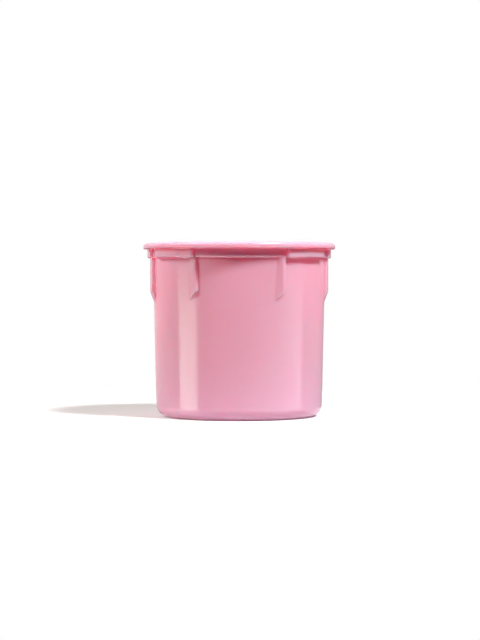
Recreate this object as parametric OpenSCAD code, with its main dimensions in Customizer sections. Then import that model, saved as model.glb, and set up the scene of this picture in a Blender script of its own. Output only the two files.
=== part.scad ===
// Refill cup for a cream jar: one thin-walled moulding with an open mouth, a rounded
// rim flange, a stepped collar with raised pads, and guide ribs down its side.
// Millimetres. The origin is the middle of the base, +Z is up and -Y is the front.

/* [Cup] */
// Overall height, from the surface it stands on to the top of the rim
height = 44.9; // [36:0.1:60]
// Diameter of the body where it meets the collar
body_d = 44.9; // [38:0.1:70]
// Draft of the body's side, in degrees
draft = 1.3; // [0.5:0.1:2.5]
// Thickness of the side wall
wall = 1.2; // [0.8:0.1:1.8]
// Thickness of the floor
floor_h = 1.4; // [1:0.1:2.5]
// Outside rounding where the side turns into the base
base_r = 3.2; // [2:0.1:5]

/* [Rim] */
// Thickness of the rim flange
rim_h = 1.6; // [1.2:0.1:2.4]
// How far the flange stands out past the pads
rim_lip = 1.1; // [0.8:0.1:2.5]
// Rounding of the flange's outer edge at its top
rim_top_r = 1; // [0.4:0.05:1.1]
// Rounding of the flange's outer edge at its underside
rim_under_r = 0.35; // [0.2:0.05:0.6]
// Rounding of the mouth's upper edge
mouth_edge_r = 0.4; // [0.1:0.05:0.5]

/* [Collar] */
// Height of the collar under the flange
collar_h = 2.3; // [1.8:0.1:5]
// How far the collar stands out from the body
collar_step = 0.6; // [0.4:0.05:1.2]
// Rounding of the lower edges of the collar and its pads
collar_edge_r = 0.3; // [0.1:0.05:0.35]

/* [Collar pads] */
// How far the pads stand out from the collar
pad_step = 0.85; // [0.4:0.05:1.2]
// Turn from the front or the back to the near end of a wide pad, in degrees
wide_pad_from = 30; // [26:0.5:34]
// Length of a wide pad, in degrees
wide_pad_turn = 35.2; // [20:0.2:38]
// Length of a narrow pad over a side bar, in degrees
narrow_pad_turn = 30; // [20:0.5:34]

/* [Ribs and bars] */
// How far the crests stand out from the body, measured where it meets the collar
rib_step = 0.75; // [0.5:0.05:1.1]
// Length of a crest below the collar
rib_len = 8.6; // [5:0.1:20]
// Height over which the lower end of a rib or bar runs out
rib_run_out = 2.65; // [1.5:0.05:4]
// Turn from the front or the back to the crest of a corner rib, in degrees
rib_from = 29.1; // [22:0.1:34]
// Turn taken by the narrow land on a corner rib's crest, in degrees
land_turn = 1.8; // [0.8:0.1:2.4]
// Turn from a corner rib's crest to the foot of its ramp, in degrees
ramp_turn = 6.7; // [4:0.1:9]
// Turn taken by the steep flank of a rib or bar, in degrees
flank_turn = 1.4; // [0.8:0.1:2]
// Rounding of both edges of a corner rib's land
crest_r = 0.25; // [0.1:0.05:0.3]
// Width of a side bar at its foot, in degrees
bar_turn = 30; // [16:0.5:34]

/* [Base] */
// Width of the flat foot ring
foot_w = 2; // [1:0.1:4]
// Depth of the recess inside the foot ring
recess_h = 0.6; // [0.3:0.1:1.2]
// Slope of the recess's side, measured along the base
recess_run = 0.6; // [0.3:0.1:1.5]
// Diameter of the gate mark in the middle of the recess
gate_d = 1.8; // [1.2:0.1:3]
// Height of the gate mark
gate_h = 0.25; // [0.1:0.05:0.28]

/* [Hidden] */
$fn = 144;
// Turn covered by one facet of a rounded corner
arc_step = 9;
// Small overlap that joins a pad or rib to the wall behind it
bite = 0.3;
body_r = body_d / 2;
collar_r = body_r + collar_step;
pad_r = collar_r + pad_step;
rim_r = pad_r + rim_lip;
crest_out = body_r + rib_step;
mouth_r = collar_r - wall;
rim_z = height - rim_h;
ledge_z = rim_z - collar_h;
seat_z = ledge_z + wall;
floor_z = recess_h + floor_h;
crest_z = ledge_z - rib_len;
tip_z = crest_z - rib_run_out;
// Share of the two roundings that a thin flange has room for
rim_share = min(1, (rim_h - 0.05) / (rim_top_r + rim_under_r));
inner_base_r = max(base_r - wall, 0.5);
foot_out = side_at(0) - base_r;
recess_r = foot_out - foot_w;
// Radius at the foot of the ribs, and a root radius inside the wall
foot_r = side_at(tip_z);
root_r = foot_r - wall / 2;

// Radius of the drafted outside at height z
function side_at(z) = body_r - (ledge_z - z) * tan(draft);

// Point at radius r and turn a
function polar(r, a) = [r * cos(a), r * sin(a)];

function unit(v) = v / norm(v);

// Points that round the corner b between its neighbours a and c with radius r
function corner(a, b, c, r) =
    let (
        u = unit(a - b),
        v = unit(c - b),
        half = acos(u * v) / 2,
        middle = b + unit(u + v) * r / sin(half),
        from = b + u * r / tan(half) - middle,
        to = b + v * r / tan(half) - middle,
        start = atan2(from.y, from.x),
        sweep = (atan2(to.y, to.x) - start + 540) % 360 - 180,
        steps = max(2, ceil(abs(sweep) / arc_step))
    )
    [for (i = [0 : steps]) middle + polar(r, start + sweep * i / steps)];

// Outline through points [x, y, radius], with each radius rounding its own corner
function rounded(path) =
    let (n = len(path), flat = [for (p = path) [p.x, p.y]])
    [for (i = [0 : n - 1])
        each path[i].z == 0
            ? [flat[i]]
            : corner(flat[(i + n - 1) % n], flat[i], flat[(i + 1) % n], path[i].z)];

// Half section of the wall, from the middle of the base round to the inside of the floor
module wall_section() {
    polygon(rounded([
        [0, recess_h, 0],
        [recess_r - recess_run, recess_h, 0.2],
        [recess_r, 0, 0.2],
        [side_at(0), 0, base_r],
        [body_r, ledge_z, 0.1],
        [collar_r, ledge_z, collar_edge_r],
        [collar_r, rim_z, 0.1],
        [rim_r, rim_z, rim_under_r * rim_share],
        [rim_r, height, rim_top_r * rim_share],
        [mouth_r, height, mouth_edge_r],
        [mouth_r, seat_z, 0.1],
        [side_at(seat_z) - wall, seat_z, 0.2],
        [side_at(floor_z) - wall, floor_z, inner_base_r],
        [0, floor_z, 0],
    ]));
}

// Raised pad on the collar, centred on the turn "at" and as long as "turn"
module collar_pad(at, turn) {
    rotate([0, 0, at - turn / 2])
    rotate_extrude(angle = turn)
    polygon(rounded([
        [collar_r - bite, ledge_z, 0],
        [pad_r, ledge_z, collar_edge_r],
        [pad_r, rim_z + bite, 0],
        [collar_r - bite, rim_z + bite, 0],
    ]));
}

// Saw-tooth rib with a narrow land on its crest, a ramp behind it and a slanting lower end
module corner_rib(at) {
    ramp_run = foot_r * sin(ramp_turn);
    reach = 2 * ramp_run;
    slant = rib_run_out / ramp_run;
    rotate([0, 0, at])
    intersection() {
        translate([0, 0, tip_z])
        linear_extrude(ledge_z + bite - tip_z)
        polygon(rounded([
            [crest_out, 0, crest_r],
            [foot_r * cos(flank_turn), foot_r * sin(flank_turn), 0],
            [root_r * cos(flank_turn), root_r * sin(flank_turn), 0],
            [root_r * cos(ramp_turn), -root_r * sin(ramp_turn), 0],
            [foot_r * cos(ramp_turn), -ramp_run, 0],
            [crest_out * cos(land_turn), -crest_out * sin(land_turn), crest_r],
        ]));
        rotate([90, 0, 90])
        linear_extrude(crest_out + 1)
        polygon([
            [-reach, crest_z - reach * slant],
            [reach, crest_z + reach * slant],
            [reach, ledge_z + 1],
            [-reach, ledge_z + 1],
        ]);
    }
}

// Broad bar at the side, with steep flanks and a lower end that runs out into the body
module side_bar(at) {
    foot_half = bar_turn / 2;
    top_half = foot_half - flank_turn;
    rotate([0, 0, at])
    intersection() {
        rotate([0, 0, -foot_half])
        rotate_extrude(angle = bar_turn)
        polygon([
            [root_r, tip_z],
            [foot_r, tip_z],
            [crest_out, crest_z],
            [crest_out, ledge_z + bite],
            [root_r, ledge_z + bite],
        ]);
        translate([0, 0, tip_z - 1])
        linear_extrude(ledge_z + 2 - tip_z)
        polygon([
            [0, 0],
            polar(foot_r, -foot_half),
            polar(crest_out, -top_half),
            [crest_out * 1.1, 0],
            polar(crest_out, top_half),
            polar(foot_r, foot_half),
        ]);
    }
}

// Thin-walled cup: the revolved wall with its pads, ribs, bars and gate mark
module cup() {
    wide_pad_mid = wide_pad_from + wide_pad_turn / 2;
    color("#E8A0B4")
    union() {
        rotate_extrude()
        wall_section();
        for (side = [-90, 90]) {
            for (lean = [-1, 1]) {
                collar_pad(side + lean * wide_pad_mid, wide_pad_turn);
                corner_rib(side + lean * rib_from);
            }
            collar_pad(side + 90, narrow_pad_turn);
            side_bar(side + 90);
        }
        translate([0, 0, recess_h - gate_h])
        cylinder(h = gate_h + bite, d = gate_d);
    }
}

cup();
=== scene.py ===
"""Looks of a pink moulded refill cup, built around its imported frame.

The cup is one injection moulding. Its wall is a turned half section, and the pads, ribs
and bars are then raised out of that wall, so that every rounding is part of one skin.
Lengths are in metres and turns in degrees about +Z, with the front of the cup at -90.
"""

import logging
import math
from dataclasses import dataclass
from enum import Enum
from typing import Iterable, Protocol

import bmesh
import bpy
from mathutils import Matrix, Vector


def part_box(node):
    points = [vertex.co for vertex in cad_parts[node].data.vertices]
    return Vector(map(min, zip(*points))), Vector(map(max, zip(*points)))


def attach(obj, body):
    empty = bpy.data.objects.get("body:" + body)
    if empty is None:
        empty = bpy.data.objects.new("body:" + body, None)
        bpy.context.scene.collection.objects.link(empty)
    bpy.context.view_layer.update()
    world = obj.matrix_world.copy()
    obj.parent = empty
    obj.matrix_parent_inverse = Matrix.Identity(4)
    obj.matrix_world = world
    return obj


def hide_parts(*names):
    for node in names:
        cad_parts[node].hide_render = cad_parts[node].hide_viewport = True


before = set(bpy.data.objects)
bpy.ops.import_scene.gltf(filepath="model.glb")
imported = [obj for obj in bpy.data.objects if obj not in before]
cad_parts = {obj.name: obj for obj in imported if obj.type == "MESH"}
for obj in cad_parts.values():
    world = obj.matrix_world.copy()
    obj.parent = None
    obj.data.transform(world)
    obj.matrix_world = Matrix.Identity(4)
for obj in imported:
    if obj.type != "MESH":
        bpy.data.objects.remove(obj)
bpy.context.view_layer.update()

LOG = logging.getLogger("refill_cup")
MM = 0.001
FULL_TURN = 360.0
HALF_TURN = 180.0
SLACK = 0.001 * MM

Colour = tuple[float, float, float]
Span = tuple[float, float]
Socket = bpy.types.NodeSocket


class RibbedFace(Enum):
    """The two faces of the cup that stand between ribs, by the turn that they face."""

    FRONT = -90.0
    BACK = 90.0


class BarredSide(Enum):
    """The two sides of the cup that carry a bar, by the turn that they face."""

    LEFT = 180.0
    RIGHT = 0.0


class Lean(Enum):
    """Which way round from the middle of its face or side a feature stands."""

    CLOCKWISE = -1.0
    ANTICLOCKWISE = 1.0


def wrapped(turn: float) -> float:
    """Return the turn brought between -180 and 180 degrees."""
    return (turn + HALF_TURN) % FULL_TURN - HALF_TURN


def soft_min(a: float, b: float, blend: float) -> float:
    """Return the smaller of two values, rounded where they cross.

    Args:
        a: First value.
        b: Second value.
        blend: Difference over which the two values melt together.

    Returns:
        The rounded minimum.
    """
    near = max(blend - abs(a - b), 0.0) / blend
    return min(a, b) - near * near * blend / 4.0


def soft_max(a: float, b: float, blend: float) -> float:
    """Return the larger of two values, rounded where they cross."""
    return -soft_min(-a, -b, blend)


def eased(value: float) -> float:
    """Return value held between 0 and 1, with a gentle start and end."""
    held = min(max(value, 0.0), 1.0)
    return held * held * (3.0 - 2.0 * held)


def line_radius(turn: float, start: tuple[float, float], end: tuple[float, float]) -> float:
    """Radius at a turn of the straight line through two polar points.

    Args:
        turn: Turn at which the line is read.
        start: Radius and turn of the first point.
        end: Radius and turn of the second point.

    Returns:
        The distance from the axis to the line at that turn.
    """
    ahead = math.sin(math.radians(end[1] - turn)) / start[0]
    behind = math.sin(math.radians(turn - start[1])) / end[0]
    return math.sin(math.radians(end[1] - start[1])) / (ahead + behind)


@dataclass(frozen=True)
class CupSizes:
    """Sizes of the moulding, hung from the rim and the height that the frame gives."""

    rim_radius: float
    height: float
    draft: float = 1.3
    wall: float = 1.2 * MM
    floor: float = 1.4 * MM
    base_round: float = 3.2 * MM
    rim_depth: float = 1.6 * MM
    rim_lip: float = 1.1 * MM
    rim_top_round: float = 1.0 * MM
    rim_under_round: float = 0.35 * MM
    mouth_round: float = 0.4 * MM
    collar_depth: float = 2.3 * MM
    collar_step: float = 0.6 * MM
    collar_round: float = 0.3 * MM
    pad_step: float = 0.85 * MM
    rib_step: float = 0.75 * MM
    rib_length: float = 8.6 * MM
    rib_run_out: float = 2.65 * MM
    foot_width: float = 2.0 * MM
    recess: float = 0.6 * MM
    recess_round: float = 0.25 * MM
    gate_radius: float = 0.9 * MM
    gate_height: float = 0.25 * MM
    gate_top_round: float = 0.08 * MM
    gate_foot_round: float = 0.06 * MM
    inner_corner_round: float = 0.12 * MM
    seat_round: float = 0.2 * MM

    @property
    def pad_radius(self) -> float:
        """Outer radius of the collar pads."""
        return self.rim_radius - self.rim_lip

    @property
    def collar_radius(self) -> float:
        """Outer radius of the collar between its pads."""
        return self.pad_radius - self.pad_step

    @property
    def body_radius(self) -> float:
        """Outer radius of the body where it meets the collar."""
        return self.collar_radius - self.collar_step

    @property
    def crest_radius(self) -> float:
        """Radius that the rib crests and the bars reach."""
        return self.body_radius + self.rib_step

    @property
    def mouth_radius(self) -> float:
        """Inner radius of the open mouth."""
        return self.collar_radius - self.wall

    @property
    def rim_level(self) -> float:
        """Height of the underside of the rim flange."""
        return self.height - self.rim_depth

    @property
    def ledge_level(self) -> float:
        """Height of the lower edge of the collar."""
        return self.rim_level - self.collar_depth

    @property
    def seat_level(self) -> float:
        """Height of the small seat inside the mouth."""
        return self.ledge_level + self.wall

    @property
    def floor_level(self) -> float:
        """Height of the inside of the floor."""
        return self.recess + self.floor

    @property
    def crest_level(self) -> float:
        """Height at which the crests of ribs and bars end."""
        return self.ledge_level - self.rib_length

    @property
    def tip_level(self) -> float:
        """Height at which ribs and bars have run out into the body."""
        return self.crest_level - self.rib_run_out

    def side_radius(self, level: float) -> float:
        """Outer radius of the drafted body at a height."""
        return self.body_radius - (self.ledge_level - level) * math.tan(math.radians(self.draft))


class Relief(Protocol):
    """Something that is raised out of the turned wall."""

    def stations(self) -> list[float]:
        """Return the turns at which the wall needs an edge for this relief."""

    def raised(self, turn: float, radius: float, level: float) -> float:
        """Raise one point of the wall.

        Args:
            turn: Turn of the point, in degrees.
            radius: Radius of the turned wall at the point.
            level: Height of the point.

        Returns:
            The radius of the point with the relief on the wall.
        """


def spread(start: float, end: float, step: float) -> list[float]:
    """Return evenly spaced turns from start to end, no more than step apart."""
    count = max(1, math.ceil((end - start) / step))
    return [start + (end - start) * index / count for index in range(count + 1)]


@dataclass(frozen=True)
class CollarPad:
    """Raised pad on the collar, with rounded ends and a rounded lower edge."""

    sizes: CupSizes
    middle: float
    turn: float
    end_round: float = 0.45 * MM
    end_draft: float = 0.1 * MM
    lead_in: tuple[float, ...] = (3.0, 1.2, 1.0, 0.0)
    arc_step: int = 15
    support: float = 0.1 * MM

    def degrees(self, length: float) -> float:
        """Return the turn that a length takes at the pad's face."""
        return math.degrees(length / self.sizes.pad_radius)

    def stations(self) -> list[float]:
        """List turns packed closely round both ends of the pad.

        Returns:
            Turns before each end, on its rounding and just past it.
        """
        half = self.turn / 2.0
        outside = [-share * self.end_draft for share in self.lead_in]
        angles = range(self.arc_step, 90 + self.arc_step, self.arc_step)
        arc = [self.end_round * (1.0 - math.cos(math.radians(angle))) for angle in angles]
        inside = [self.end_round + self.support]
        steps = [self.degrees(step) for step in outside + arc + inside]
        return [self.middle + lean.value * (half - step) for step in steps for lean in Lean]

    def stand_out(self, turn: float) -> float:
        """Work out how far the pad stands out from the collar.

        Args:
            turn: Turn at which the pad is measured, in degrees.

        Returns:
            The distance, which is 0 beside the pad.
        """
        inside = math.radians(self.turn / 2.0 - abs(wrapped(turn - self.middle)))
        along = inside * self.sizes.pad_radius
        shoulder = self.sizes.pad_step - self.end_round
        if along <= -self.end_draft:
            return 0.0
        if along <= 0.0:
            return shoulder * (1.0 + along / self.end_draft)
        if along < self.end_round:
            return shoulder + math.sqrt(self.end_round**2 - (self.end_round - along) ** 2)
        return self.sizes.pad_step

    def raised(self, turn: float, radius: float, level: float) -> float:
        """Return the radius of the collar with the pad on it.

        Args:
            turn: Turn of the point, in degrees.
            radius: Radius of the turned wall at the point.
            level: Height of the point.

        Returns:
            The radius with the pad, fading out along the ledge and the flange.
        """
        cup = self.sizes
        if level < cup.ledge_level - SLACK or level > cup.rim_level + SLACK:
            return radius
        push = self.stand_out(turn)
        if radius < cup.collar_radius:
            flat = cup.collar_radius - cup.collar_round - cup.body_radius
            push *= min(max((radius - cup.body_radius) / flat, 0.0), 1.0)
        elif radius > cup.collar_radius + SLACK:
            flange = cup.rim_radius - cup.rim_under_round - cup.collar_radius
            push *= max(1.0 - (radius - cup.collar_radius) / flange, 0.0)
        return radius + push


@dataclass(frozen=True)
class CornerRib:
    """Saw-tooth rib with a narrow land, a ramp, a steep flank and a slanting lower end."""

    sizes: CupSizes
    crest: float
    land_turn: float = 1.8
    land_fall: float = 0.05 * MM
    ramp_turn: float = 6.7
    flank_turn: float = 1.4
    crest_blend: float = 0.24 * MM
    land_blend: float = 0.08 * MM
    foot_blend: float = 0.12 * MM
    end_blend: float = 0.16 * MM
    margin: float = 1.2
    reach_below: float = 1.2 * MM
    fine_step: float = 0.2

    def stations(self) -> list[float]:
        """Return close and even turns across the whole rib."""
        start = self.crest - self.ramp_turn - self.margin
        return spread(start, self.crest + self.flank_turn + self.margin, self.fine_step)

    def tooth(self, away: float) -> float:
        """Read the tooth's outline: ramp, land and steep flank.

        Args:
            away: Turn from the rib's crest, in degrees.

        Returns:
            The radius of the tooth at that turn.
        """
        cup = self.sizes
        foot = cup.side_radius(cup.tip_level)
        top = (cup.crest_radius, 0.0)
        land_end = (cup.crest_radius - self.land_fall, -self.land_turn)
        ramp = line_radius(away, (foot, -self.ramp_turn), land_end)
        land = line_radius(away, land_end, top)
        flank = line_radius(away, top, (foot, self.flank_turn))
        return soft_min(soft_min(ramp, land, self.land_blend), flank, self.crest_blend)

    def raised(self, turn: float, radius: float, level: float) -> float:
        """Return the radius of the body with the rib on it.

        Args:
            turn: Turn of the point, in degrees.
            radius: Radius of the turned wall at the point.
            level: Height of the point.

        Returns:
            The radius with the rib where the rib reaches, else the radius unchanged.
        """
        cup = self.sizes
        away = wrapped(turn - self.crest)
        if level > cup.ledge_level + SLACK or level < cup.tip_level - self.reach_below:
            return radius
        if away < -self.ramp_turn - self.margin or away > self.flank_turn + self.margin:
            return radius
        slant = cup.rib_run_out / math.radians(self.ramp_turn) / cup.body_radius
        end_level = cup.crest_level + slant * math.radians(away) * cup.body_radius
        above = eased((level - end_level) / self.end_blend + 0.5)
        with_rib = soft_max(radius, self.tooth(away), self.foot_blend)
        return radius + (with_rib - radius) * above


@dataclass(frozen=True)
class SideBar:
    """Broad bar with steep flanks and a lower end that runs out into the body."""

    sizes: CupSizes
    middle: float
    turn: float = 30.0
    flank_turn: float = 1.4
    edge_blend: float = 0.2 * MM
    foot_blend: float = 0.12 * MM
    margin: float = 1.0
    reach_below: float = 1.0 * MM
    fine_step: float = 0.2

    def stations(self) -> list[float]:
        """List close turns across both flanks of the bar.

        Returns:
            Turns from just inside each flank to just outside it.
        """
        half = self.turn / 2.0
        inner = half - self.flank_turn - self.margin
        away = spread(inner, half + self.margin, self.fine_step)
        return [self.middle + lean.value * turn for turn in away for lean in Lean]

    def raised(self, turn: float, radius: float, level: float) -> float:
        """Return the radius of the body with the bar on it.

        Args:
            turn: Turn of the point, in degrees.
            radius: Radius of the turned wall at the point.
            level: Height of the point.

        Returns:
            The radius with the bar where the bar reaches, else the radius unchanged.
        """
        cup = self.sizes
        half = self.turn / 2.0
        away = abs(wrapped(turn - self.middle))
        if level > cup.ledge_level + SLACK or level < cup.tip_level - self.reach_below:
            return radius
        if away > half + self.margin:
            return radius
        foot = cup.side_radius(cup.tip_level)
        flank = line_radius(away, (cup.crest_radius, half - self.flank_turn), (foot, half))
        rise = (level - cup.tip_level) / cup.rib_run_out
        run_out = foot + (cup.crest_radius - foot) * rise
        face = soft_min(cup.crest_radius, flank, self.edge_blend)
        face = soft_min(face, run_out, self.edge_blend)
        return soft_max(radius, face, self.foot_blend)


@dataclass(frozen=True)
class Bend:
    """Corner of the half section, with its rounding."""

    radius: float
    level: float
    rounding: float = 0.0
    segments: int = 6


@dataclass(frozen=True)
class CupWall:
    """The whole moulding: a turned wall with pads, ribs, bars and a gate mark."""

    sizes: CupSizes
    name: str = "refill_cup"
    wide_pad_from: float = 30.0
    wide_pad_turn: float = 35.2
    narrow_pad_turn: float = 30.0
    rib_from: float = 29.1
    coarse_turn: float = 2.0
    closest_turn: float = 0.04
    coarse_row: float = 3.0 * MM
    fine_row: float = 0.15 * MM
    fine_below: float = 1.0 * MM
    fine_above: float = 1.1 * MM
    support: float = 0.12 * MM
    sector_steps: int = 24
    merge_gap: float = 0.002 * MM
    plane_slack: float = 0.0001 * MM
    shortest_edge: float = 0.00001 * MM

    def bends(self) -> list[Bend]:
        """List the corners of the half section.

        Returns:
            The corners, from the gate mark under the base round to the middle of the floor.
        """
        cup = self.sizes
        gate_level = cup.recess - cup.gate_height
        foot_outer = cup.side_radius(0.0) - cup.base_round
        recess_radius = foot_outer - cup.foot_width
        seat_radius = cup.side_radius(cup.seat_level) - cup.wall
        floor_radius = cup.side_radius(cup.floor_level) - cup.wall
        inner_round = cup.base_round - cup.wall
        return [
            Bend(0.0, gate_level),
            Bend(cup.gate_radius, gate_level, cup.gate_top_round, segments=4),
            Bend(cup.gate_radius, cup.recess, cup.gate_foot_round, segments=3),
            Bend(recess_radius - cup.recess, cup.recess, cup.recess_round, segments=4),
            Bend(recess_radius, 0.0, cup.recess_round, segments=4),
            Bend(cup.side_radius(0.0), 0.0, cup.base_round, segments=12),
            Bend(cup.body_radius, cup.ledge_level, cup.inner_corner_round, segments=3),
            Bend(cup.collar_radius, cup.ledge_level, cup.collar_round),
            Bend(cup.collar_radius, cup.rim_level, cup.inner_corner_round, segments=3),
            Bend(cup.rim_radius, cup.rim_level, cup.rim_under_round),
            Bend(cup.rim_radius, cup.height, cup.rim_top_round, segments=8),
            Bend(cup.mouth_radius, cup.height, cup.mouth_round),
            Bend(cup.mouth_radius, cup.seat_level, cup.inner_corner_round, segments=3),
            Bend(seat_radius, cup.seat_level, cup.seat_round, segments=4),
            Bend(floor_radius, cup.floor_level, inner_round, segments=8),
            Bend(0.0, cup.floor_level),
        ]

    def reliefs(self) -> list[Relief]:
        """List everything that is raised out of the wall.

        Returns:
            Every pad, rib and bar of the cup.
        """
        wide_middle = self.wide_pad_from + self.wide_pad_turn / 2.0
        found: list[Relief] = []
        for face in RibbedFace:
            for lean in Lean:
                middle = face.value + lean.value * wide_middle
                found.append(CollarPad(self.sizes, middle, self.wide_pad_turn))
                found.append(CornerRib(self.sizes, face.value + lean.value * self.rib_from))
        for side in BarredSide:
            found.append(CollarPad(self.sizes, side.value, self.narrow_pad_turn))
            found.append(SideBar(self.sizes, side.value))
        return found

    def half_section(self, mesh: bmesh.types.BMesh) -> None:
        """Draw the rounded half section as a wire in the plane of the X and Z axes.

        Args:
            mesh: Empty mesh that receives the wire.
        """
        path = self.bends()
        corners = [mesh.verts.new((bend.radius, 0.0, bend.level)) for bend in path]
        for corner, following in zip(corners, corners[1:]):
            mesh.edges.new((corner, following))
        for corner, bend in zip(corners, path):
            if bend.rounding:
                self.round_corner(mesh, corner, bend)
        self.cut_rows(mesh)

    def round_corner(self, mesh: bmesh.types.BMesh, corner: bmesh.types.BMVert, bend: Bend) -> None:
        """Round one corner of the wire.

        Args:
            mesh: Mesh that holds the wire.
            corner: The corner's vertex.
            bend: Rounding and segments of the corner.
        """
        arms = [edge.other_vert(corner).co - corner.co for edge in corner.link_edges]
        reach = bend.rounding / math.tan(arms[0].angle(arms[1]) / 2.0)
        bmesh.ops.bevel(
            mesh,
            geom=[corner],
            offset=reach,
            offset_type="OFFSET",
            affect="VERTICES",
            segments=bend.segments,
            profile=0.5,
            material=-1,
        )

    def cut_rows(self, mesh: bmesh.types.BMesh) -> None:
        """Cut the long stretches of the wire into rows, finer where the ribs end.

        Args:
            mesh: Mesh that holds the wire.
        """
        cup = self.sizes
        low = cup.tip_level - self.fine_below
        high = cup.crest_level + self.fine_above
        for level in (low, high):
            bmesh.ops.bisect_plane(
                mesh, geom=mesh.edges[:] + mesh.verts[:], plane_co=(0.0, 0.0, level),
                plane_no=(0.0, 0.0, 1.0), dist=self.plane_slack,
            )
        for edge in [side for side in mesh.edges if side.calc_length() > 4.0 * self.support]:
            for end in list(edge.verts):
                bmesh.utils.edge_split(edge, end, self.support / edge.calc_length())
        for edge in [side for side in mesh.edges if side.calc_length() > 2.0 * self.support]:
            middle = (edge.verts[0].co + edge.verts[1].co) / 2.0
            outside = middle.x > cup.side_radius(middle.z) - cup.wall / 2.0
            fine = outside and low < middle.z < high
            row = self.fine_row if fine else self.coarse_row
            cuts = math.ceil(edge.calc_length() / row) - 1
            if cuts > 0:
                bmesh.ops.subdivide_edges(mesh, edges=[edge], cuts=cuts)

    def stations(self, reliefs: Iterable[Relief]) -> list[float]:
        """Return the turns at which the wall has an edge, over one full turn.

        Args:
            reliefs: Everything that is raised out of the wall.

        Returns:
            Rising turns, the last one a full turn past the first.
        """
        wanted = sorted(turn % FULL_TURN for relief in reliefs for turn in relief.stations())
        kept = [wanted[0]]
        for turn in wanted[1:]:
            if turn - kept[-1] > self.closest_turn:
                kept.append(turn)
        kept.append(kept[0] + FULL_TURN)
        filled: list[float] = []
        for turn, following in zip(kept, kept[1:]):
            filled += spread(turn, following, self.coarse_turn)[:-1]
        return filled + [kept[-1]]

    def sector(self, stations: list[float]) -> bpy.types.Mesh:
        """Turn the half section about the axis, one step from each station to the next.

        Args:
            stations: Turns at which the wall has an edge.

        Returns:
            The sector's own mesh.
        """
        mesh = bmesh.new()
        self.half_section(mesh)
        first = Matrix.Rotation(math.radians(stations[0]), 4, "Z")
        bmesh.ops.transform(mesh, matrix=first, verts=mesh.verts)
        edge: list[bmesh.types.BMVert | bmesh.types.BMEdge] = mesh.verts[:] + mesh.edges[:]
        for turn, following in zip(stations, stations[1:]):
            made = bmesh.ops.spin(
                mesh, geom=edge, cent=(0.0, 0.0, 0.0), axis=(0.0, 0.0, 1.0),
                angle=math.radians(following - turn), steps=1, use_merge=False,
            )
            edge = made["geom_last"]
        data = bpy.data.meshes.new("sector")
        mesh.to_mesh(data)
        mesh.free()
        return data

    def turned_wall(self, stations: list[float]) -> bmesh.types.BMesh:
        """Join the sectors of a full turn into one closed wall.

        Args:
            stations: Turns at which the wall has an edge, over one full turn.

        Returns:
            The closed wall, with its faces pointing outwards.
        """
        mesh = bmesh.new()
        for start in range(0, len(stations) - 1, self.sector_steps):
            part = self.sector(stations[start:start + self.sector_steps + 1])
            mesh.from_mesh(part)
            bpy.data.meshes.remove(part)
        bmesh.ops.remove_doubles(mesh, verts=mesh.verts, dist=self.merge_gap)
        bmesh.ops.dissolve_degenerate(mesh, edges=mesh.edges, dist=self.shortest_edge)
        bmesh.ops.recalc_face_normals(mesh, faces=mesh.faces)
        self.put_in_order(mesh)
        return mesh

    def put_in_order(self, mesh: bmesh.types.BMesh) -> None:
        """Give the edges and faces a fixed order, because spin adds them in a changing one.

        Args:
            mesh: Mesh of the turned wall, whose points already stand in a fixed order.
        """
        mesh.verts.index_update()
        count = len(mesh.verts)

        def place(part: bmesh.types.BMEdge | bmesh.types.BMFace) -> int:
            """Return a number made of the part's three lowest points, or both of an edge's."""
            number = 0
            for index in sorted(vert.index for vert in part.verts)[:3]:
                number = number * count + index
            return number

        mesh.edges.sort(key=place)
        mesh.faces.sort(key=place)

    def raise_reliefs(self, mesh: bmesh.types.BMesh, reliefs: list[Relief]) -> None:
        """Push the outside of the wall out over every pad, rib and bar.

        Args:
            mesh: Mesh of the turned wall.
            reliefs: Everything that is raised out of the wall.
        """
        cup = self.sizes
        for vert in mesh.verts:
            radius = math.hypot(vert.co.x, vert.co.y)
            level = vert.co.z
            inside = radius < cup.side_radius(level) - cup.wall / 2.0
            if inside or level > cup.rim_level + SLACK:
                continue
            turn = math.degrees(math.atan2(vert.co.y, vert.co.x))
            grown = radius
            for relief in reliefs:
                grown = max(grown, relief.raised(turn, radius, level))
            vert.co.x *= grown / radius
            vert.co.y *= grown / radius

    def build(self) -> bpy.types.Object:
        """Build the whole moulding as one mesh.

        Returns:
            The cup's object, in the scene.
        """
        reliefs = self.reliefs()
        stations = self.stations(reliefs)
        mesh = self.turned_wall(stations)
        self.raise_reliefs(mesh, reliefs)
        LOG.info("%s: %d stations, %d faces", self.name, len(stations) - 1, len(mesh.faces))
        data = bpy.data.meshes.new(self.name)
        mesh.to_mesh(data)
        mesh.free()
        data.shade_smooth()
        piece = bpy.data.objects.new(self.name, data)
        bpy.context.scene.collection.objects.link(piece)
        weighted = piece.modifiers.new("even_shading", "WEIGHTED_NORMAL")
        weighted.mode = "FACE_AREA"
        return piece


def joined(tree: bpy.types.NodeTree, kind: str, first: Socket, second: Socket) -> Socket:
    """Join two values with a math node.

    Args:
        tree: Node tree that receives the node.
        kind: Operation of the math node.
        first: Socket of the first value.
        second: Socket of the second value.

    Returns:
        The socket that puts out the result.
    """
    made = tree.nodes.new("ShaderNodeMath")
    made.operation = kind
    tree.links.new(first, made.inputs[0])
    tree.links.new(second, made.inputs[1])
    return made.outputs["Value"]


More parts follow.
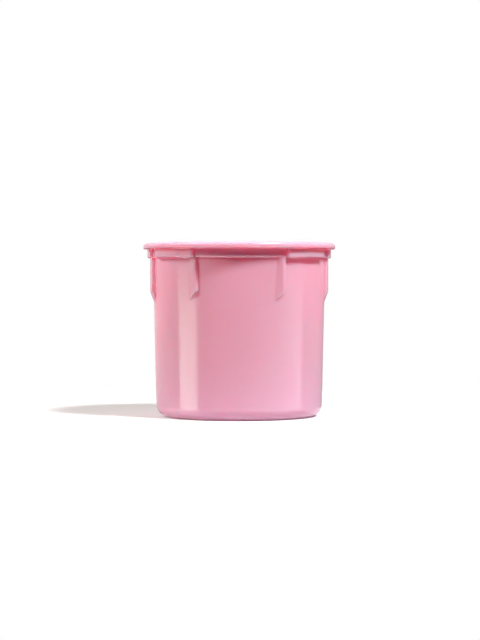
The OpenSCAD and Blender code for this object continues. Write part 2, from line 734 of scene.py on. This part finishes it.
def soft_ramp(tree: bpy.types.NodeTree, value: Socket, reach: Span, span: Span) -> Socket:
    """Add a soft ramp.

    Args:
        tree: Node tree that receives the node.
        value: Socket of the value that the ramp follows.
        reach: Values between which the ramp climbs or falls.
        span: What the ramp puts out at the two ends of its reach.

    Returns:
        The socket that puts out the ramp.
    """
    made = tree.nodes.new("ShaderNodeMapRange")
    made.interpolation_type = "SMOOTHSTEP"
    made.inputs["From Min"].default_value = reach[0]
    made.inputs["From Max"].default_value = reach[1]
    made.inputs["To Min"].default_value = span[0]
    made.inputs["To Max"].default_value = span[1]
    tree.links.new(value, made.inputs["Value"])
    return made.outputs["Result"]


@dataclass(frozen=True)
class ThinWallPlastic:
    """Glossy, slightly milky moulded plastic with a faint flow pattern.

    The wall is thin, so red light passes through it further than green or blue.
    """

    name: str = "pink_plastic"
    deep: Colour = (0.725, 0.39, 0.495)
    light: Colour = (0.755, 0.42, 0.525)
    flow_scale: float = 60.0
    flow_detail: float = 3.0
    flow_stretch: tuple[float, float, float] = (1.0, 1.0, 0.35)
    roughness: Span = (0.12, 0.2)
    polish_scale: float = 350.0
    polish_detail: float = 4.0
    ripple_strength: float = 0.06
    ripple_height: float = 0.02 * MM
    refraction: float = 1.49
    milkiness: float = 1.0
    bleed: Colour = (1.0, 0.35, 0.42)
    bleed_depth: float = 5.5 * MM

    def material(self) -> bpy.types.Material:
        """Build the plastic's node material.

        Returns:
            The material, ready for the cup.
        """
        made = bpy.data.materials.new(self.name)
        made.use_nodes = True
        tree = made.node_tree
        shader = tree.nodes["Principled BSDF"]
        shader.inputs["IOR"].default_value = self.refraction
        shader.inputs["Subsurface Weight"].default_value = self.milkiness
        shader.inputs["Subsurface Radius"].default_value = self.bleed
        shader.inputs["Subsurface Scale"].default_value = self.bleed_depth
        place = tree.nodes.new("ShaderNodeTexCoord").outputs["Object"]
        self.tint(tree, place, shader)
        self.polish(tree, place, shader)
        return made

    def noise(self, tree: bpy.types.NodeTree, place: Socket, scale: float, detail: float) -> Socket:
        """Add a noise pattern.

        Args:
            tree: Node tree that receives the node.
            place: Socket of the position at which the noise is read.
            scale: How often the noise changes over one metre.
            detail: Number of finer layers in the noise.

        Returns:
            The socket that puts out the noise.
        """
        made = tree.nodes.new("ShaderNodeTexNoise")
        made.inputs["Scale"].default_value = scale
        made.inputs["Detail"].default_value = detail
        tree.links.new(place, made.inputs["Vector"])
        return made.outputs["Fac"]

    def tint(self, tree: bpy.types.NodeTree, place: Socket, shader: bpy.types.Node) -> None:
        """Colour the plastic, with a flow pattern that is drawn out along the wall.

        Args:
            tree: Node tree that receives the nodes.
            place: Socket of the position on the cup.
            shader: Shader that takes the colour.
        """
        stretch = tree.nodes.new("ShaderNodeMapping")
        stretch.inputs["Scale"].default_value = self.flow_stretch
        tree.links.new(place, stretch.inputs["Vector"])
        flow = self.noise(tree, stretch.outputs["Vector"], self.flow_scale, self.flow_detail)
        shade = tree.nodes.new("ShaderNodeMix")
        shade.data_type = "RGBA"
        shade.inputs["A"].default_value = (*self.deep, 1.0)
        shade.inputs["B"].default_value = (*self.light, 1.0)
        tree.links.new(flow, shade.inputs["Factor"])
        tree.links.new(shade.outputs["Result"], shader.inputs["Base Color"])

    def polish(self, tree: bpy.types.NodeTree, place: Socket, shader: bpy.types.Node) -> None:
        """Give the plastic an uneven gloss and the faint ripple of a polished mould.

        Args:
            tree: Node tree that receives the nodes.
            place: Socket of the position on the cup.
            shader: Shader that takes the roughness and the normal.
        """
        grain = self.noise(tree, place, self.polish_scale, self.polish_detail)
        gloss = tree.nodes.new("ShaderNodeMapRange")
        gloss.inputs["To Min"].default_value = self.roughness[0]
        gloss.inputs["To Max"].default_value = self.roughness[1]
        tree.links.new(grain, gloss.inputs["Value"])
        tree.links.new(gloss.outputs["Result"], shader.inputs["Roughness"])
        ripple = tree.nodes.new("ShaderNodeBump")
        ripple.inputs["Strength"].default_value = self.ripple_strength
        ripple.inputs["Distance"].default_value = self.ripple_height
        tree.links.new(grain, ripple.inputs["Height"])
        tree.links.new(ripple.outputs["Normal"], shader.inputs["Normal"])


@dataclass(frozen=True)
class PhotoView:
    """Where the camera stands: level with the cup, a little below its rim."""

    azimuth: float = -1.0
    distance: float = 468.7 * MM
    eye_level: float = 33.3 * MM
    pitch: float = -1.02
    yaw: float = -0.028
    lens: float = 101.2
    sensor: float = 36.0
    clip: Span = (0.01, 20.0)

    def build(self) -> bpy.types.Object:
        """Add the camera and make it the scene's own.

        Returns:
            The camera's object.
        """
        data = bpy.data.cameras.new("photo_view")
        data.lens = self.lens
        data.sensor_width = self.sensor
        data.clip_start, data.clip_end = self.clip
        camera = bpy.data.objects.new("photo_view", data)
        around = math.radians(self.azimuth)
        camera.location = (
            math.sin(around) * self.distance,
            -math.cos(around) * self.distance,
            self.eye_level,
        )
        camera.rotation_euler = (
            math.radians(90.0 + self.pitch),
            0.0,
            around + math.radians(self.yaw),
        )
        bpy.context.scene.collection.objects.link(camera)
        bpy.context.scene.camera = camera
        return camera


@dataclass(frozen=True)
class SoftLamp:
    """Rectangular soft lamp that faces the middle of the cup.

    The spans are the angles that the lamp fills as seen from the cup, in degrees.
    """

    name: str
    azimuths: Span
    elevations: Span
    radiance: float
    colour: Colour = (1.0, 1.0, 1.0)
    distance: float = 0.8
    lights_body: bool = True
    mirrored: bool = True
    faint_end: float = 1.0

    def build(self, aim: Vector) -> bpy.types.Object:
        """Add the lamp to the scene.

        Args:
            aim: Point that the lamp faces.

        Returns:
            The lamp's object.
        """
        data = bpy.data.lights.new(self.name, "AREA")
        data.shape = "RECTANGLE"
        data.size = self.extent(self.azimuths)
        data.size_y = self.extent(self.elevations)
        data.energy = self.radiance * math.pi * data.size * data.size_y
        data.color = self.colour
        if self.faint_end < 1.0:
            self.fade(data)
        lamp = bpy.data.objects.new(self.name, data)
        around = math.radians(sum(self.azimuths) / 2.0)
        up = math.radians(sum(self.elevations) / 2.0)
        level = math.cos(up)
        back = Vector((math.sin(around) * level, -math.cos(around) * level, math.sin(up)))
        lamp.location = aim + back * self.distance
        lamp.rotation_euler = back.to_track_quat("Z", "Y").to_euler()
        lamp.visible_camera = False
        lamp.visible_diffuse = self.lights_body
        lamp.visible_transmission = self.lights_body
        lamp.visible_glossy = self.mirrored
        bpy.context.scene.collection.objects.link(lamp)
        return lamp

    def extent(self, span: Span) -> float:
        """Return the length that fills a span of angles at the lamp's distance."""
        return 2.0 * self.distance * math.tan(math.radians(span[1] - span[0]) / 2.0)

    def fade(self, data: bpy.types.AreaLight) -> None:
        """Let the lamp grow from its faint end to full strength across its width.

        Args:
            data: The lamp's light data.
        """
        data.use_nodes = True
        nodes, links = data.node_tree.nodes, data.node_tree.links
        place = nodes.new("ShaderNodeNewGeometry")
        across = nodes.new("ShaderNodeSeparateXYZ")
        links.new(place.outputs["Parametric"], across.inputs["Vector"])
        growth = nodes.new("ShaderNodeMapRange")
        growth.inputs["To Min"].default_value = self.faint_end
        links.new(across.outputs["X"], growth.inputs["Value"])
        links.new(growth.outputs["Result"], nodes["Emission"].inputs["Strength"])


@dataclass(frozen=True)
class PaleFloor:
    """Pale floor that keeps the cup's shadow and fades into the white surroundings.

    Its bounce is the colour that it throws onto the cup, and differs from its seen tone.
    """

    name: str = "pale_floor"
    radius: float = 150.0 * MM
    segments: int = 96
    fade_reach: Span = (60.0 * MM, 147.0 * MM)
    roughness: float = 0.9
    tone: Colour = (0.8, 0.8, 0.8)
    bounce: Colour = (0.42, 0.4, 0.48)
    far_bounce: Colour = (0.05, 0.05, 0.05)
    bounce_reach: Span = (28.0 * MM, 46.0 * MM)
    mirrored_reach: Span = (27.0 * MM, 36.0 * MM)

    def build(self) -> bpy.types.Object:
        """Lay the floor under the cup.

        Returns:
            The floor's object, kept out of the part.
        """
        mesh = bmesh.new()
        bmesh.ops.create_circle(mesh, cap_ends=True, segments=self.segments, radius=self.radius)
        data = bpy.data.meshes.new(self.name)
        mesh.to_mesh(data)
        mesh.free()
        floor = bpy.data.objects.new(self.name, data)
        floor.visible_shadow = False
        data.materials.append(self.material())
        bpy.context.scene.collection.objects.link(floor)
        return floor

    def material(self) -> bpy.types.Material:
        """Build the floor's material.

        Returns:
            The material, which is clear from below and far out, and nearer by in the gloss.
        """
        made = bpy.data.materials.new(self.name)
        made.use_nodes = True
        tree = made.node_tree
        shader = tree.nodes["Principled BSDF"]
        shader.inputs["Roughness"].default_value = self.roughness
        shader.inputs["Specular IOR Level"].default_value = 0.0
        path = tree.nodes.new("ShaderNodeLightPath")
        tree.links.new(self.colour(tree, path), shader.inputs["Base Color"])
        geometry = tree.nodes.new("ShaderNodeNewGeometry")
        clear_gloss = joined(tree, "MULTIPLY", path.outputs["Is Glossy Ray"],
                             self.rising(tree, self.mirrored_reach))
        faded = joined(tree, "MAXIMUM", clear_gloss, self.rising(tree, self.fade_reach))
        clear = joined(tree, "MAXIMUM", faded, geometry.outputs["Backfacing"])
        through = tree.nodes.new("ShaderNodeBsdfTransparent")
        blend = tree.nodes.new("ShaderNodeMixShader")
        tree.links.new(clear, blend.inputs[0])
        tree.links.new(shader.outputs["BSDF"], blend.inputs[1])
        tree.links.new(through.outputs["BSDF"], blend.inputs[2])
        tree.links.new(blend.outputs["Shader"], tree.nodes["Material Output"].inputs["Surface"])
        return made

    def colour(self, tree: bpy.types.NodeTree, path: bpy.types.Node) -> Socket:
        """Colour the floor by its distance from the cup and by the kind of ray.

        Args:
            tree: Node tree that receives the nodes.
            path: Light path node of the tree.

        Returns:
            The socket that puts out the colour.
        """
        bounced = self.mixed(tree, self.rising(tree, self.bounce_reach))
        bounced.inputs["A"].default_value = (*self.bounce, 1.0)
        bounced.inputs["B"].default_value = (*self.far_bounce, 1.0)
        seen = joined(tree, "MAXIMUM", path.outputs["Is Camera Ray"], path.outputs["Is Glossy Ray"])
        shown = self.mixed(tree, seen)
        shown.inputs["B"].default_value = (*self.tone, 1.0)
        tree.links.new(bounced.outputs["Result"], shown.inputs["A"])
        return shown.outputs["Result"]

    def mixed(self, tree: bpy.types.NodeTree, factor: Socket) -> bpy.types.Node:
        """Add a mix of two colours.

        Args:
            tree: Node tree that receives the node.
            factor: Socket of the second colour's share.

        Returns:
            The node, with both of its colours still to be set.
        """
        made = tree.nodes.new("ShaderNodeMix")
        made.data_type = "RGBA"
        tree.links.new(factor, made.inputs["Factor"])
        return made

    def rising(self, tree: bpy.types.NodeTree, reach: Span) -> Socket:
        """Add nodes for a value that rises from 0 to 1 with the distance from the middle.

        Args:
            tree: Node tree that receives the nodes.
            reach: Distances at which the value leaves 0 and reaches 1.

        Returns:
            The socket that puts out the value.
        """
        place = tree.nodes.new("ShaderNodeTexCoord")
        away = tree.nodes.new("ShaderNodeVectorMath")
        away.operation = "LENGTH"
        tree.links.new(place.outputs["Object"], away.inputs[0])
        return soft_ramp(tree, away.outputs["Value"], reach, (0.0, 1.0))


@dataclass(frozen=True)
class WhiteSurroundings:
    """World that is white to the eye, faint as light, and shaded where the gloss shows it.

    Strengths are named for where they show. A reach is the span of a direction's part along
    one axis, from -1 to 1, over which one strength turns into another.
    """

    name: str = "white_surroundings"
    fill: float = 0.04
    back_fill: float = 0.7
    fill_reach: Span = (-0.1, 0.5)
    front: float = 0.08
    above: float = 1.6
    below: float = 5.0
    front_reach: Span = (0.2, -0.2)
    above_reach: Span = (0.02, 0.3)
    below_reach: Span = (-0.1, -0.35)
    behind: float = 0.85
    right_share: float = 0.45
    behind_reach: Span = (-0.2, 0.2)
    right_reach: Span = (0.0, 0.4)
    ground_reach: Span = (-0.25, 0.0)

    def build(self) -> bpy.types.World:
        """Build the world and make it the scene's own.

        Returns:
            The world.
        """
        world = bpy.data.worlds.new(self.name)
        world.use_nodes = True
        tree = world.node_tree
        shade = tree.nodes["Background"]
        shade.inputs["Color"].default_value = (1.0, 1.0, 1.0, 1.0)
        path = tree.nodes.new("ShaderNodeLightPath")
        place = tree.nodes.new("ShaderNodeTexCoord")
        axes = tree.nodes.new("ShaderNodeSeparateXYZ")
        tree.links.new(place.outputs["Generated"], axes.inputs["Vector"])
        fill = soft_ramp(tree, axes.outputs["Y"], self.fill_reach, (self.fill, self.back_fill))
        in_gloss = self.chosen(tree, path.outputs["Is Glossy Ray"], fill, self.mirrored(tree, axes))
        strength = self.chosen(tree, path.outputs["Is Camera Ray"], in_gloss, 1.0)
        tree.links.new(strength, shade.inputs["Strength"])
        bpy.context.scene.world = world
        return world

    def mirrored(self, tree: bpy.types.NodeTree, axes: bpy.types.Node) -> Socket:
        """Shade the surroundings that show in the cup's gloss.

        Args:
            tree: Node tree that receives the nodes.
            axes: Node that puts out the three parts of the direction.

        Returns:
            The socket that puts out the strength.
        """
        across, along, up = (axes.outputs[name] for name in "XYZ")
        front = soft_ramp(tree, along, self.front_reach, (0.0, 1.0))
        high = soft_ramp(tree, up, self.above_reach, (self.front, self.above))
        low = soft_ramp(tree, up, self.below_reach, (self.front, self.below))
        ahead = joined(tree, "MULTIPLY", front, joined(tree, "MAXIMUM", high, low))
        behind = soft_ramp(tree, along, self.behind_reach, (0.0, self.behind))
        share = soft_ramp(tree, across, self.right_reach, (1.0, self.right_share))
        ground = soft_ramp(tree, up, self.ground_reach, (self.front, 1.0))
        around = joined(tree, "MULTIPLY", joined(tree, "MULTIPLY", behind, share), ground)
        return joined(tree, "ADD", ahead, around)

    def chosen(self, tree: bpy.types.NodeTree, ray: Socket, otherwise: Socket,
               value: Socket | float) -> Socket:
        """Add a choice between two strengths by the kind of ray.

        Args:
            tree: Node tree that receives the node.
            ray: Socket that is 1 for the ray's kind.
            otherwise: Strength for every other ray.
            value: Strength for this kind of ray.

        Returns:
            The socket that puts out the strength.
        """
        made = tree.nodes.new("ShaderNodeMix")
        made.data_type = "FLOAT"
        tree.links.new(ray, made.inputs["Factor"])
        tree.links.new(otherwise, made.inputs["A"])
        if isinstance(value, float):
            made.inputs["B"].default_value = value
        else:
            tree.links.new(value, made.inputs["B"])
        return made.outputs["Result"]


@dataclass(frozen=True)
class Studio:
    """Plain pale floor, white surroundings and soft lamps."""

    middle: float
    warm: Colour = (1.0, 0.92, 0.86)
    mint: Colour = (0.8, 1.0, 0.9)
    cool: Colour = (0.85, 0.93, 1.0)

    def lamps(self) -> list[SoftLamp]:
        """List the soft lamps of the studio.

        Returns:
            Three lamps that light the cup, and two that only show in its gloss.
        """
        return [
            SoftLamp(
                name="key_lamp",
                azimuths=(41.5, 52.5),
                elevations=(45.5, 56.5),
                radiance=132.0,
            ),
            SoftLamp(
                name="left_lamp",
                azimuths=(-80.0, -60.0),
                elevations=(26.0, 44.0),
                radiance=25.5,
                colour=self.warm,
                mirrored=False,
            ),
            SoftLamp(
                name="under_lamp",
                azimuths=(-8.0, 8.0),
                elevations=(-98.0, -82.0),
                radiance=10.0,
                mirrored=False,
            ),
            SoftLamp(
                name="left_strip",
                azimuths=(-89.0, -59.0),
                elevations=(-30.0, -1.0),
                radiance=5.9,
                colour=self.mint,
                lights_body=False,
            ),
            SoftLamp(
                name="right_panel",
                azimuths=(0.0, 92.0),
                elevations=(-30.0, -1.0),
                radiance=2.9,
                colour=self.cool,
                lights_body=False,
                faint_end=0.0,
            ),
        ]

    def build(self) -> None:
        """Add the floor, the surroundings and every lamp."""
        PaleFloor().build()
        WhiteSurroundings().build()
        for lamp in self.lamps():
            lamp.build(Vector((0.0, 0.0, self.middle)))
            LOG.info("lamp %s", lamp.name)


def main() -> None:
    """Build the cup, dress it, and set up the studio and the camera."""
    logging.basicConfig(level=logging.INFO, format="%(name)s: %(message)s")
    bpy.context.scene.view_settings.view_transform = "Standard"
    low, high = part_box("cup")
    sizes = CupSizes(rim_radius=high.x, height=high.z)
    cup = CupWall(sizes).build()
    cup.data.materials.append(ThinWallPlastic().material())
    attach(cup, "root")
    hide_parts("cup")
    LOG.info("cup replaces the frame's node, which spans %s to %s", tuple(low), tuple(high))
    Studio(middle=sizes.height / 2.0).build()
    PhotoView().build()


if __name__ == "__main__":
    main()
